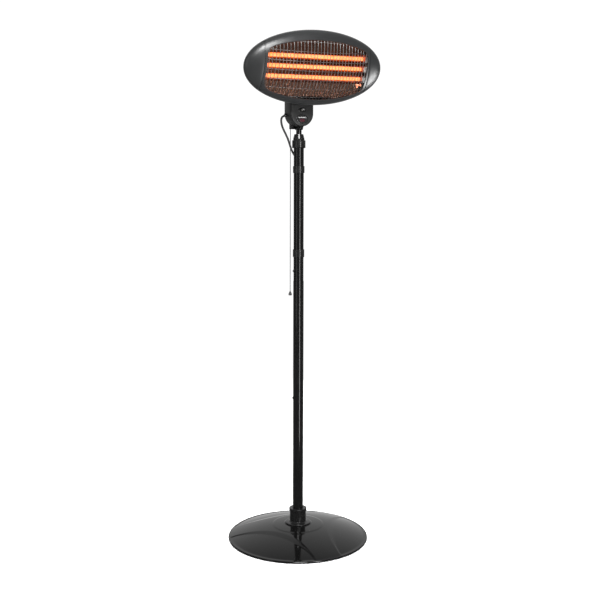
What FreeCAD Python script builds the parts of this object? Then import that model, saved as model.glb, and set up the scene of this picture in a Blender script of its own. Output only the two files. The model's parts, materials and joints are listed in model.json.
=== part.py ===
import FreeCAD, Part
import math
import os

import Sketcher
from FreeCAD import Placement, Rotation, Vector

# A free-standing electric patio heater: an oval head with three quartz tubes on a telescopic
# pole with a round domed base. Millimetres. The origin is on the floor under the pole's axis,
# +Z is up, and the heater's face looks towards -Y, tilted down.

doc = FreeCAD.newDocument("patio_heater")
sheet = doc.addObject("Spreadsheet::Sheet", "dims")

# The driving dimensions: alias, value in millimetres or degrees, what it is.
DIMENSIONS = [
    ("base_radius", 250, "round base"),
    ("dome_foot", 6.5, "height of the dome's surface at the base's edge"),
    ("dome_top", 54, "height of the dome at the pole"),
    ("cover_wall", 2.2, "steel of the base cover"),
    ("rim_bead", 3.2, "radius of the rolled rim"),
    ("hub_radius", 90, "raised disc round the pole"),
    ("hub_step", 1.5, "how far the raised disc stands up"),
    ("facet_radius", 305, "curved edge of a swirl facet"),
    ("facet_offset", 408, "centre of that edge from the pole"),
    ("facet_depth", 1.2, "how far a facet is pressed in"),
    ("facet_bearing", -28, "direction of the first facet"),
    ("foot_height", 3, "rubber feet"),
    ("foot_radius", 11, "rubber feet"),
    ("foot_circle", 222, "rubber feet from the axis"),
    ("pan_wall", 1.5, "sheet under the base"),
    ("socket_top", 110, "top of the pole socket"),
    ("socket_floor", 62, "where the pole stands in its socket"),
    ("pole_radius", 17.5, "35 mm upper pole tube"),
    ("pole_low_radius", 18.4, "heavier middle and lower pole tubes, with the same bore"),
    ("tube_wall", 1.2, "wall of the upper pole tube and of the telescopic tube"),
    ("joint_low", 485, "lower joint of the pole"),
    ("joint_high", 930, "upper joint of the pole"),
    ("pole_top", 1400, "top of the fixed pole"),
    ("collar_foot", 1387, "foot of the lock collar"),
    ("collar_radius", 23, "lock collar"),
    ("nut_foot", 1414, "foot of the lock nut"),
    ("nut_top", 1434, "top of the lock nut"),
    ("inner_radius", 9.5, "19 mm telescopic tube"),
    ("inner_foot", 1010, "foot of the telescopic tube"),
    ("inner_top", 1448, "top of the telescopic tube"),
    ("fit_gap", 0.05, "radial clearance of a running fit"),
    ("box_radius", 42.5, "half the width of the control box, and its round bottom"),
    ("box_centre", 1502, "centre of the round bottom"),
    ("box_top", 1579, "top of the control box"),
    ("box_front", 28, "half the depth of the control box"),
    ("box_split", -4, "where its two shells meet"),
    ("box_wall", 2.5, "wall of its shells"),
    ("pivot_y", -8, "tilt pivot"),
    ("pivot_z", 1610, "tilt pivot"),
    ("pivot_radius", 4, "8 mm tilt bolt"),
    ("head_y", -119, "centre of the head's rim"),
    ("head_z", 1644, "centre of the head's rim"),
    ("head_tilt", 20, "how far the face looks down, in degrees"),
    ("head_long", 245.3, "half the head's width"),
    ("head_high", 123.4, "half the head's height"),
    ("front_bulge", 50, "how far the face bulges"),
    ("rear_depth", 62, "depth of the rear housing"),
    ("head_wall", 2.5, "wall of the bezel"),
    ("seam_x", 187, "seam between the bezel and its end caps"),
    ("opening_long", 231.8, "half the long axis of the guard opening's oval"),
    ("opening_high", 97.5, "half its short axis"),
    ("opening_side", 178.5, "its straight ends"),
    ("guard_pitch", 11.55, "spacing of the guard's bars"),
    ("guard_bar", 1.2, "thickness of the guard's bars"),
    ("tube_pitch", 34, "spacing of the heating tubes"),
    ("tube_radius", 6, "quartz tubes"),
    ("tube_half", 183, "half the length of a quartz tube"),
    ("tube_y", 3, "quartz tubes behind the rim's plane"),
    ("trough_radius", 16.4, "troughs of the reflector"),
    ("reflector_half", 173, "half the length of the reflector"),
    ("reflector_wall", 1, "sheet of the reflector"),
    ("cord_radius", 1.2, "pull cord"),
    ("cord_x", -21.6, "pull cord"),
    ("cord_y", 22.8, "pull cord"),
    ("cable_radius", 3.5, "supply cable"),
    ("cable_reach", 23.5, "supply cable from the pole's axis"),
    ("cable_bearing", 66, "side of the pole that carries the supply cable"),
]

for row, (alias, number, note) in enumerate(DIMENSIONS, start=1):
    sheet.set(f"A{row}", alias)
    sheet.set(f"B{row}", str(number))
    sheet.set(f"C{row}", note)
    sheet.setAlias(f"B{row}", alias)
doc.recompute()


class Size:
    """A length with the formula that binds it to the sheet's cells."""

    def __init__(self, number, formula=None):
        self.number = number
        self.formula = formula or f"({number})"

    def join(self, sign, other, number):
        return Size(number, f"({self.formula} {sign} {other.formula})")

    def __add__(self, other):
        other = size(other)
        return self.join("+", other, self.number + other.number)

    def __sub__(self, other):
        other = size(other)
        return self.join("-", other, self.number - other.number)

    def __mul__(self, other):
        other = size(other)
        return self.join("*", other, self.number * other.number)

    def __truediv__(self, other):
        other = size(other)
        return self.join("/", other, self.number / other.number)

    def __neg__(self):
        return size(0) - self

    def __rsub__(self, other):
        return size(other) - self

    def __rmul__(self, other):
        return size(other) * self


def size(thing):
    return thing if isinstance(thing, Size) else Size(thing)


def cell(alias):
    """A cell of the sheet, as a Size."""
    return Size(float(sheet.get(alias)), f"dims.{alias}")


nodes = {}


def node(label, obj):
    """Names a finished sub-part. The label is its file's name."""
    obj.Label = label
    nodes[label] = obj
    return obj


def bind(obj, **sizes):
    """Binds an object's sizes to the sheet."""
    for prop, amount in sizes.items():
        obj.setExpression(prop, size(amount).formula)
    return obj


def place(obj, x=0, y=0, z=0, turn=None):
    """Puts an object at a place bound to the sheet, with a fixed turn."""
    if turn is not None:
        obj.Placement = Placement(Vector(0, 0, 0), turn)
    for letter, amount in (("x", x), ("y", y), ("z", z)):
        obj.setExpression(f"Placement.Base.{letter}", size(amount).formula)
    return obj


ALONG_X = Rotation(Vector(0, 1, 0), 90)
ALONG_Y = Rotation(Vector(1, 0, 0), -90)


def cylinder(name, radius, length, x=0, y=0, z=0, turn=None):
    obj = doc.addObject("Part::Cylinder", name)
    return place(bind(obj, Radius=radius, Height=length), x, y, z, turn)


def cone(name, low_radius, high_radius, length, x=0, y=0, z=0, turn=None):
    obj = doc.addObject("Part::Cone", name)
    return place(bind(obj, Radius1=low_radius, Radius2=high_radius, Height=length), x, y, z, turn)


def block(name, low, high, turn=None):
    """A box between two corners."""
    obj = doc.addObject("Part::Box", name)
    low, high = [size(a) for a in low], [size(a) for a in high]
    bind(obj, Length=high[0] - low[0], Width=high[1] - low[1], Height=high[2] - low[2])
    return place(obj, *low, turn)


def sphere(name, radius, z):
    return place(bind(doc.addObject("Part::Sphere", name), Radius=radius), z=z)


def ellipsoid(name, long, deep, high):
    """A whole ellipsoid with its half axes along X, Y and Z."""
    return bind(doc.addObject("Part::Ellipsoid", name), Radius1=high, Radius2=long, Radius3=deep)


def oval_bar(name, long, high, low_y, length):
    """An elliptic bar along +Y from low_y."""
    ring = doc.addObject("Part::Ellipse", name + "_outline")
    place(bind(ring, MajorRadius=long, MinorRadius=high), y=low_y, turn=ALONG_Y)
    bar = doc.addObject("Part::Extrusion", name)
    bar.Base = ring
    bar.DirMode = "Custom"
    bar.Dir = Vector(0, 1, 0)
    bar.Solid = True
    return bind(bar, LengthFwd=length)


def cut(name, base, tool):
    obj = doc.addObject("Part::Cut", name)
    obj.Base = base
    obj.Tool = tool
    return obj


def several(kind, name, shapes):
    obj = doc.addObject(kind, name)
    obj.Shapes = shapes
    return obj


def fuse(name, *shapes):
    obj = several("Part::MultiFuse", name, shapes)
    obj.Refine = True
    return obj


def common(name, *shapes):
    return several("Part::MultiCommon", name, shapes)


def group(name, *solids):
    """Separate solids that share one node."""
    obj = doc.addObject("Part::Compound", name)
    obj.Links = solids
    return obj


def turned(name, outline):
    """A body turned about Z from a closed outline of (radius, height) corners."""
    body = doc.addObject("PartDesign::Body", name)
    sketch = body.newObject("Sketcher::SketchObject", name + "_outline")
    plane = next(p for p in body.Origin.OriginFeatures if p.Role == "XZ_Plane")
    sketch.AttachmentSupport = [(plane, "")]
    sketch.MapMode = "FlatFace"
    corners = [(size(radius), size(height)) for radius, height in outline]
    places = [Vector(radius.number, height.number, 0) for radius, height in corners]
    for start, end in zip(places, places[1:] + places[:1]):
        sketch.addGeometry(Part.LineSegment(start, end), False)
    for edge in range(len(corners)):
        sketch.addConstraint(
            Sketcher.Constraint("Coincident", edge, 2, (edge + 1) % len(corners), 1)
        )
    for edge, corner in enumerate(corners):
        for kind, axis, amount in zip(("DistanceX", "DistanceY"), (-2, -1), corner):
            if amount.number == 0:
                sketch.addConstraint(Sketcher.Constraint("PointOnObject", edge, 1, axis))
                continue
            index = sketch.addConstraint(
                Sketcher.Constraint(kind, -1, 1, edge, 1, amount.number)
            )
            sketch.setExpression(f"Constraints[{index}]", amount.formula)
    revolution = body.newObject("PartDesign::Revolution", name + "_turned")
    revolution.Profile = sketch
    revolution.ReferenceAxis = (sketch, ["V_Axis"])
    revolution.Angle = 360
    return body


def ring(name, inner, outer, low, high):
    """A plain ring or tube about Z."""
    return turned(name, [(inner, low), (outer, low), (outer, high), (inner, high)])


def radial(name, radius, start, end, bearing, z):
    """A round bar that points away from the pole's axis at a bearing in degrees."""
    angle = math.radians(bearing)
    out = Rotation(Vector(0, 0, 1), bearing).multiply(ALONG_X)
    x, y = size(start) * math.cos(angle), size(start) * math.sin(angle)
    return cylinder(name, radius, size(end) - start, x, y, z, out)


# ---------------------------------------------------------------------------------------------
# Base: a pressed cover with three swirl facets over a cast weight, on rubber feet
# ---------------------------------------------------------------------------------------------

base_radius = cell("base_radius")
dome_rise = cell("dome_top") - cell("dome_foot")
dome_radius = (base_radius * base_radius + dome_rise * dome_rise) / (dome_rise * 2)
dome_centre = cell("dome_top") - dome_radius
cover_inside = sphere("cover_inside", dome_radius - cell("cover_wall"), dome_centre)
rim_circle = base_radius - cell("rim_bead")
SHELL_TALL = 80
FACET_EDGE = 243
SEAT_RADIUS = 48
BOLT_RADIUS = 5


def base_cover():
    dome = common(
        "dome",
        sphere("dome_ball", dome_radius, dome_centre),
        cylinder("dome_disc", rim_circle, SHELL_TALL),
    )
    hub = common(
        "hub",
        sphere("hub_ball", dome_radius + cell("hub_step"), dome_centre),
        cylinder("hub_disc", cell("hub_radius"), SHELL_TALL),
    )
    shell = cut("cover_shell", fuse("cover_solid", dome, hub), cover_inside)
    bead = place(
        bind(doc.addObject("Part::Torus", "bead"), Radius1=rim_circle, Radius2=cell("rim_bead")),
        z=cell("rim_bead") + 2,
    )
    facets = []
    for turn in range(3):
        angle = math.radians(cell("facet_bearing").number + 120 * turn)
        centre = [cell("facet_offset") * math.cos(angle), cell("facet_offset") * math.sin(angle)]
        facets.append(cylinder(f"facet_{turn}", cell("facet_radius"), SHELL_TALL, *centre))
    pressed = common(
        "pressed", fuse("facets", *facets), cylinder("facet_limit", FACET_EDGE, SHELL_TALL)
    )
    floor = sphere("facet_floor", dome_radius - cell("facet_depth"), dome_centre)
    seat = cylinder("seat", SEAT_RADIUS, SHELL_TALL, z=cell("dome_top"))
    hole = cylinder("cover_hole", BOLT_RADIUS + 1, SHELL_TALL)
    recesses = fuse("recesses", cut("facet_tool", pressed, floor), seat, hole)
    pressed_shell = cut("pressed_shell", shell, recesses)
    node("base_cover", fuse("cover", pressed_shell, bead))


def base_weight():
    pan_low = cell("foot_height")
    pan_top = pan_low + cell("pan_wall")
    node("base_pan", ring("base_pan", 0, 238, pan_low, pan_top))
    outline = [
        (BOLT_RADIUS + 0.5, 13), (16, 13), (16, pan_top), (210, pan_top), (210, 16),
        (110, 38), (45, 38), (45, 50), (BOLT_RADIUS + 0.5, 50),
    ]
    node("base_weight", turned("base_weight", outline))
    feet = []
    for turn in range(6):
        angle = math.radians(cell("facet_bearing").number - 56 + 60 * turn)
        spot = [cell("foot_circle") * math.cos(angle), cell("foot_circle") * math.sin(angle)]
        feet.append(
            cone(f"foot_{turn}", cell("foot_radius") - 1, cell("foot_radius"), pan_low, *spot)
        )
    node("base_feet", group("base_feet", *feet))


def pole_anchor():
    """The pole's socket, and the bolt that holds it down through the weight."""
    foot, top = cell("dome_top"), cell("socket_top")
    floor, bore = cell("socket_floor"), cell("pole_low_radius") + cell("fit_gap")
    outline = [
        (BOLT_RADIUS, foot), (44.5, foot), (45.5, foot + 1), (45.5, foot + 3), (44, foot + 4.5),
        (32, foot + 6), (29, foot + 9), (29, top - 11), (31.5, top - 9), (31.5, top - 1.5),
        (30, top), (bore, top), (bore, floor), (BOLT_RADIUS, floor),
    ]
    node("pole_socket", turned("pole_socket", outline))
    shank = [(0, 5), (8.5, 5), (8.5, 11), (BOLT_RADIUS, 11), (BOLT_RADIUS, floor), (0, floor)]
    node("anchor_bolt", turned("anchor_bolt", shank))
    node("anchor_washer", ring("anchor_washer", BOLT_RADIUS + 0.3, 14, 11, 13))


base_cover()
base_weight()
pole_anchor()

# ---------------------------------------------------------------------------------------------
# Pole: three tubes joined by inner sleeves and screws, with two clips for the supply cable
# ---------------------------------------------------------------------------------------------

pole_radius, low_radius = cell("pole_radius"), cell("pole_low_radius")
pole_bore = pole_radius - cell("tube_wall")
SCREW_BEARINGS = (-72, 48, 168)
SCREW_RADIUS = 2
SCREW_HEAD = 4
SLEEVE_WALL = 1.5


def pole_tubes():
    joints = {"low": cell("joint_low"), "high": cell("joint_high")}
    screw_heights = {"low": joints["low"] + 29, "high": joints["high"] + 35}
    outsides = {"low": low_radius, "high": pole_radius}
    screw_start = pole_bore - 4
    holes = {}
    for which, height in screw_heights.items():
        outside = outsides[which]
        drills = [
            radial(
                f"drill_{which}_{bearing}", SCREW_RADIUS + 0.1, screw_start - 2, outside + 3,
                bearing, height,
            )
            for bearing in SCREW_BEARINGS
        ]
        holes[which] = fuse(f"drills_{which}", *drills)
        screws = []
        for bearing in SCREW_BEARINGS:
            shank = radial(
                f"shank_{which}_{bearing}", SCREW_RADIUS, screw_start, outside + 1,
                bearing, height,
            )
            head = radial(
                f"head_{which}_{bearing}", SCREW_HEAD, outside + 0.3, outside + 2.4,
                bearing, height,
            )
            screws.append(fuse(f"screw_{which}_{bearing}", shank, head))
        node(f"joint_screws_{which}", group(f"joint_screws_{which}", *screws))
        sleeve = ring(
            f"sleeve_{which}", pole_bore - cell("fit_gap") - SLEEVE_WALL,
            pole_bore - cell("fit_gap"), joints[which] - 45, joints[which] + 75,
        )
        node(f"joint_sleeve_{which}", cut(f"drilled_sleeve_{which}", sleeve, holes[which]))
    tube = ring("plain_lower_tube", pole_bore, low_radius, cell("socket_floor"), joints["low"])
    node("lower_tube", tube)
    tube = ring("plain_middle_tube", pole_bore, low_radius, joints["low"], joints["high"])
    node("middle_tube", cut("drilled_middle_tube", tube, holes["low"]))
    tube = ring("plain_upper_tube", pole_bore, pole_radius, joints["high"], cell("pole_top"))
    node("upper_tube", cut("drilled_upper_tube", tube, holes["high"]))


def cable_clips():
    """Each clip is a band round the pole with an eye that the cable runs through."""
    angle = math.radians(cell("cable_bearing").number)
    reach = cell("cable_reach")
    eye = [reach * math.cos(angle), reach * math.sin(angle)]
    for which, low, tall in (("upper", 1303, 23), ("lower", 1014, 26)):
        band = cylinder(f"band_{which}", 20, tall, z=low)
        loop = cylinder(f"eye_{which}", 6.2, tall, *eye, low)
        bores = fuse(
            f"clip_bores_{which}",
            cylinder(f"band_bore_{which}", pole_radius + 0.02, tall + 2, z=low - 1),
            cylinder(f"eye_bore_{which}", cell("cable_radius") + 0.7, tall + 2, *eye, low - 1),
        )
        clip = cut(f"clip_{which}", fuse(f"clip_solid_{which}", band, loop), bores)
        node(f"cable_clip_{which}", clip)


pole_tubes()
cable_clips()

# ---------------------------------------------------------------------------------------------
# Height lock and the telescopic tube
# ---------------------------------------------------------------------------------------------

inner_radius = cell("inner_radius")
COLLET_OUTER = 12
SPIGOT_RADIUS = 16


def height_lock():
    foot, top = cell("collar_foot"), cell("nut_foot") - 0.3
    pole_top, gap = cell("pole_top"), cell("fit_gap")
    radius, bore = cell("collar_radius"), pole_radius + cell("fit_gap")
    outline = [
        (bore, foot), (radius - 1.5, foot), (radius, foot + 1.5), (radius, top - 1.5),
        (radius - 1.5, top), (SPIGOT_RADIUS, top), (SPIGOT_RADIUS, top + 8.5),
        (COLLET_OUTER + 0.1, top + 8.5), (COLLET_OUTER + 0.1, pole_top), (bore, pole_top),
    ]
    node("lock_collar", turned("lock_collar", outline))
    collet = ring("collet_ring", inner_radius + gap, COLLET_OUTER, pole_top + 1, 1430)
    slit = block("collet_slit", (0, -0.6, pole_top), (20, 0.6, 1440))
    node("lock_collet", cut("split_collet", collet, slit))

    nut_foot, nut_top = cell("nut_foot"), cell("nut_top")
    cavity = SPIGOT_RADIUS + 0.05
    outline = [
        (cavity, nut_foot), (18.5, nut_foot), (19.5, nut_foot + 1), (19, nut_foot + 6),
        (15.4, nut_top), (inner_radius + 0.3, nut_top), (inner_radius + 0.3, nut_top - 3),
        (COLLET_OUTER + 0.3, nut_top - 3), (COLLET_OUTER + 0.3, nut_foot + 8.6),
        (cavity, nut_foot + 8.6),
    ]
    plain = turned("plain_nut", outline)
    flutes = []
    for turn in range(12):
        angle = math.radians(30 * turn)
        spot = [20.6 * math.cos(angle), 20.6 * math.sin(angle)]
        flutes.append(cylinder(f"flute_{turn}", 1.9, 30, *spot, nut_foot - 5))
    node("lock_nut", cut("fluted_nut", plain, fuse("flutes", *flutes)))


def telescopic_tube():
    foot, top, gap = cell("inner_foot"), cell("inner_top"), cell("fit_gap")
    tube = ring("inner_tube", inner_radius - cell("tube_wall"), inner_radius, foot, top)
    node("inner_tube", tube)
    bush = ring("guide_bush", inner_radius + gap, pole_bore - 0.1, foot, foot + 30)
    node("guide_bush", bush)


height_lock()
telescopic_tube()

# ---------------------------------------------------------------------------------------------
# Control box: two shells with a round bottom, on a bracket at the top of the telescopic tube
# ---------------------------------------------------------------------------------------------

box_radius, box_centre, box_top = cell("box_radius"), cell("box_centre"), cell("box_top")
box_front, box_split, box_wall = cell("box_front"), cell("box_split"), cell("box_wall")
GLAND_PLACE = Vector(-48.6, 14.36, 1495)
GLAND_AXIS = Vector(-6.46, 0.24, -2.5)
SWITCH_LOW = (-24.8, 13.5, 1451)
SWITCH_HIGH = (-2, 26, 1482)


def rounded_block(name, margin, low_y, high_y):
    """A block with the box's outline, drawn in by a margin."""
    wide = box_radius - margin
    low_y = size(low_y)
    length = size(high_y) - low_y
    barrel = cylinder(name + "_barrel", wide, length, 0, low_y, box_centre, ALONG_Y)
    upper = block(name + "_upper", (-wide, low_y, box_centre), (wide, high_y, box_top - margin))
    return fuse(name, barrel, upper)


def gland_bar(name, low_radius, high_radius, start, length):
    """A tapered bar on the axis of the cable gland; the gland's mouth is at zero."""
    bar = doc.addObject("Part::Cone", name)
    bind(bar, Radius1=low_radius, Radius2=high_radius, Height=length)
    turn = Rotation(Vector(0, 0, 1), GLAND_AXIS)
    bar.Placement = Placement(GLAND_PLACE + turn.multVec(Vector(0, 0, start)), turn)
    return bar


def box_shells():
    front = cut(
        "front_shell",
        rounded_block("front_outside", 0, -box_front, box_split),
        rounded_block("front_inside", box_wall, box_wall - box_front, box_split + 1),
    )
    lamp_hole = cylinder("lamp_hole", 4, 10, 0, -box_front - 2, 1514, ALONG_Y)
    node("control_box_front", cut("drilled_front", front, lamp_hole))
    rear = cut(
        "rear_shell",
        rounded_block("rear_outside", 0, box_split, box_front),
        rounded_block("rear_inside", box_wall, box_split - 1, box_front - box_wall),
    )
    gland_hole = gland_bar("gland_hole", 6.6, 6.6, -20, 20)
    cord_hole = cylinder("cord_hole", 3, 40, cell("cord_x"), cell("cord_y"), 1450)
    screw_holes = [
        cylinder(f"box_screw_hole_{x}_{z}", 1.6, 10, x, box_front - 6, z, ALONG_Y)
        for x in (-28, 28) for z in (1500, 1560)
    ]
    drilled = cut("drilled_rear", rear, fuse("rear_holes", gland_hole, cord_hole, *screw_holes))
    node("control_box_rear", drilled)
    screws = []
    for x in (-28, 28):
        for z in (1500, 1560):
            shank = cylinder(f"box_shank_{x}_{z}", 1.5, 8, x, box_front - 7, z, ALONG_Y)
            head = cylinder(f"box_head_{x}_{z}", 3, 1.6, x, box_front, z, ALONG_Y)
            screws.append(fuse(f"box_screw_{x}_{z}", shank, head))
    node("box_screws", group("box_screws", *screws))


def box_fittings():
    face = -box_front
    surround = place(oval_bar("lamp_oval", 14, 7.5, 0, 1.8), y=face - 1.8, z=1514)
    bore = cylinder("lamp_bore", 3.8, 6, 0, face - 4, 1514, ALONG_Y)
    node("indicator_surround", cut("indicator_surround", surround, bore))
    lens = cylinder("indicator_lens", 3.7, 6, 0, face - 1.2, 1514, ALONG_Y)
    node("indicator_lens", lens)
    badge = oval_bar("badge_plate", 22, 15.5, 0, 1.5)
    node("badge_plate", place(badge, y=face - 1.5, z=1484))
    outside = cylinder("switch_seat", box_radius + 0.02, 80, 0, -40, box_centre, ALONG_Y)
    body = cut("switch_body", block("switch_block", SWITCH_LOW, SWITCH_HIGH), outside)
    cord_way = cylinder("cord_way", 1.7, 40, cell("cord_x"), cell("cord_y"), 1445)
    node("pull_switch", cut("pull_switch", body, cord_way))
    node("terminal_block", block("terminal_block", (-16, 4, 1520), (16, 20, 1540)))
    sleeve = gland_bar("gland_cone", 6.4, 4.4, -9, 9)
    inner = gland_bar("gland_inner", 6.4, 6.4, -13.5, 4.5)
    flange = gland_bar("gland_flange", 8.2, 8.2, -7.6, 2)
    gland = fuse("gland_solid", sleeve, inner, flange)
    seat = rounded_block("gland_seat", 0.01, -10, 40)
    node("cable_gland", cut("cable_gland", gland, seat))


def stem_bracket():
    """The casting that joins the telescopic tube to the control box."""
    top, bore = cell("inner_top"), inner_radius - cell("tube_wall") - 0.02
    wedge = bind(
        doc.addObject("Part::Wedge", "stem_wedge"),
        Xmin=-9.8, Xmax=9.8, X2min=-12.5, X2max=12.5, Ymin=0, Ymax=18,
        Zmin=-9.8, Zmax=9.8, Z2min=-12, Z2max=15,
    )
    place(wedge, z=top, turn=Rotation(Vector(1, 0, 0), 90))
    seat = cylinder("stem_seat", box_radius + 0.02, 60, 0, -box_front - 0.02, box_centre, ALONG_Y)
    spigot = cylinder("stem_spigot", bore, 32, 0, 0, top - 30)
    head = cylinder("stem_screw", 2.8, 4, 0, -14.2, top + 6, ALONG_Y)
    solid = cut("stem_solid", fuse("stem_body", wedge, spigot), seat)
    node("stem_bracket", cut("stem_bracket", solid, head))
    node("stem_screw", head)


box_shells()
box_fittings()
stem_bracket()

# ---------------------------------------------------------------------------------------------
# Tilt hinge between the control box and the head
# ---------------------------------------------------------------------------------------------

pivot_y, pivot_z, pivot_radius = cell("pivot_y"), cell("pivot_z"), cell("pivot_radius")
KNUCKLE_HALF = 10.5
EAR_INNER = 11
EAR_OUTER = 14
EAR_RADIUS = 10


def on_head(obj):
    """Moves an object made about the head's own centre to the head's place and tilt."""
    obj.Placement = Placement(Vector(0, 0, 0), Rotation(Vector(1, 0, 0), cell("head_tilt").number))
    obj.setExpression("Placement.Rotation.Angle", cell("head_tilt").formula)
    return place(obj, 0, cell("head_y"), cell("head_z"))


def at_pivot(obj):
    """The same for an object made about the tilt pivot."""
    obj.Placement = Placement(Vector(0, 0, 0), Rotation(Vector(1, 0, 0), cell("head_tilt").number))
    obj.setExpression("Placement.Rotation.Angle", cell("head_tilt").formula)
    return place(obj, 0, pivot_y, pivot_z)


def tilt_hinge():
    plate = block("knuckle_plate", (-22, -20, box_top), (22, 16, box_top + 3))
    half = KNUCKLE_HALF
    web = block("knuckle_web", (-half, pivot_y - 8, box_top + 1), (half, pivot_y + 8, pivot_z))
    barrel = cylinder("knuckle_barrel", 9.5, 2 * half, -half, pivot_y, pivot_z, ALONG_X)
    bore = cylinder(
        "knuckle_bore", pivot_radius + cell("fit_gap"), 40, -20, pivot_y, pivot_z, ALONG_X
    )
    node("hinge_knuckle", cut("hinge_knuckle", fuse("knuckle_solid", plate, web, barrel), bore))

    ears = []
    for side in (-1, 1):
        inner, outer = sorted((side * EAR_INNER, side * EAR_OUTER))
        arm = block(f"arm_{side}", (inner, -46, -9), (outer, 0, 9))
        eye = cylinder(f"ear_{side}", EAR_RADIUS, outer - inner, inner, 0, 0, ALONG_X)
        ears += [arm, eye]
    pad = block("ear_pad", (-24, -52, -10), (24, -30, 20))
    bolt_hole = cylinder("ear_hole", pivot_radius, 40, -20, 0, 0, ALONG_X)
    bracket = cut("ear_bracket", fuse("ear_solid", pad, *ears), bolt_hole)
    half_axes = [cell(alias) + 0.05 for alias in ("head_long", "rear_depth", "head_high")]
    housing = ellipsoid("housing_seat", *half_axes)
    node("tilt_bracket", cut("tilt_bracket", at_pivot(bracket), on_head(housing)))

    shank = cylinder("bolt_shank", pivot_radius, 36, -17, pivot_y, pivot_z, ALONG_X)
    head = cylinder("bolt_head", 7, 4, -18, pivot_y, pivot_z, ALONG_X)
    node("tilt_bolt", fuse("tilt_bolt", shank, head))
    nut = cylinder("nut_disc", 7, 5, EAR_OUTER, pivot_y, pivot_z, ALONG_X)
    nut_bore = cylinder("nut_bore", pivot_radius, 12, EAR_OUTER - 1, pivot_y, pivot_z, ALONG_X)
    node("tilt_nut", cut("tilt_nut", nut, nut_bore))


tilt_hinge()

# ---------------------------------------------------------------------------------------------
# Head: an oval bezel with two end caps, a domed guard, and the heating tubes in their reflector
# ---------------------------------------------------------------------------------------------

head_long, head_high = cell("head_long"), cell("head_high")
front_bulge, rear_depth = cell("front_bulge"), cell("rear_depth")
seam_x = cell("seam_x")
TUBES = {"top": 1, "middle": 0, "bottom": -1}
TUBE_RISE = 3
FAR = 300


def face_layer(name, inset):
    """An ellipsoid that follows the head's face, drawn in by an inset."""
    return ellipsoid(name, head_long - inset, front_bulge - inset, head_high - inset)


def opening(name, grow):
    """The guard's opening as a block through the face, larger all round by grow."""
    long, high = cell("opening_long") + grow, cell("opening_high") + grow
    oval = oval_bar(name + "_oval", long, high, -80, 90)
    side = cell("opening_side") + grow
    sides = block(name + "_sides", (-side, -80, -FAR), (side, 10, FAR))
    return common(name, oval, sides)


def bezel():
    front = block("front_half", (-FAR, -100, -FAR), (FAR, 0, FAR))
    skin = cut(
        "face_skin",
        common("face_solid", face_layer("face_outside", 0), front),
        face_layer("face_inside", cell("head_wall")),
    )
    gap = 0.5
    centre = block("centre_part", (gap - seam_x, -100, -FAR), (seam_x - gap, 1, FAR))
    plain = common("plain_bezel", skin, centre)
    node("bezel_centre", on_head(cut("bezel_centre", plain, opening("bezel_opening", 0))))
    for label, low, high in (
        ("end_cap_left", -FAR, -seam_x - gap), ("end_cap_right", seam_x + gap, FAR)
    ):
        end = block(label + "_part", (low, -100, -FAR), (high, 1, FAR))
        node(label, on_head(common(label, skin, end)))


def rear_housing():
    rear = block("rear_half", (-FAR, 0.2, -FAR), (FAR, 100, FAR))
    outside = ellipsoid("housing_outside", head_long, rear_depth, head_high)
    inside = ellipsoid("housing_inside", head_long - 2, rear_depth - 2, head_high - 2)
    shell = cut("housing_shell", common("housing_solid", outside, rear), inside)
    vents = []
    for side in (-1, 1):
        for step in range(7):
            x = side * (44 + 16 * step)
            vents.append(block(f"vent_{side}_{step}", (x - 3, 20, 22), (x + 3, 90, 62)))
    drills, screws = [], []
    for x in (-140, 140):
        for z in (-62, 62):
            name = f"{x}_{z}"
            share = 1 - (x / head_long.number) ** 2 - (z / head_high.number) ** 2
            depth = rear_depth.number * math.sqrt(share)
            drills.append(cylinder(f"housing_drill_{name}", 3.7, 60, x, 20, z, ALONG_Y))
            head = cylinder(f"housing_head_{name}", 3.5, 3.2, x, depth - 2, z, ALONG_Y)
            shank = cylinder(f"housing_shank_{name}", 1.8, depth - 12, x, 11, z, ALONG_Y)
            screws.append(fuse(f"housing_screw_{name}", head, shank))
    vented = cut("vented_housing", shell, fuse("housing_cuts", *vents, *drills))
    node("rear_housing", on_head(vented))
    node("housing_screws", on_head(group("housing_screws", *screws)))


def guard():
    patch = common(
        "guard_patch",
        cut("guard_skin", face_layer("guard_outside", 5), face_layer("guard_inside", 6.4)),
        opening("guard_area", 5),
    )
    pitch, half_bar = cell("guard_pitch"), cell("guard_bar") / 2
    bars = []
    for step in range(-15, 16):
        x = pitch * step
        low, high = (x - half_bar, -70, -110), (x + half_bar, 0, 110)
        bars.append(block(f"upright_{step + 15}", low, high))
    for step in range(-3, 4):
        z = pitch * 2.6 * step
        low, high = (-190, -70, z - half_bar), (190, 0, z + half_bar)
        bars.append(block(f"crossbar_{step + 3}", low, high))
    node("guard_grille", on_head(common("guard_grille", patch, fuse("guard_bars", *bars))))


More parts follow.
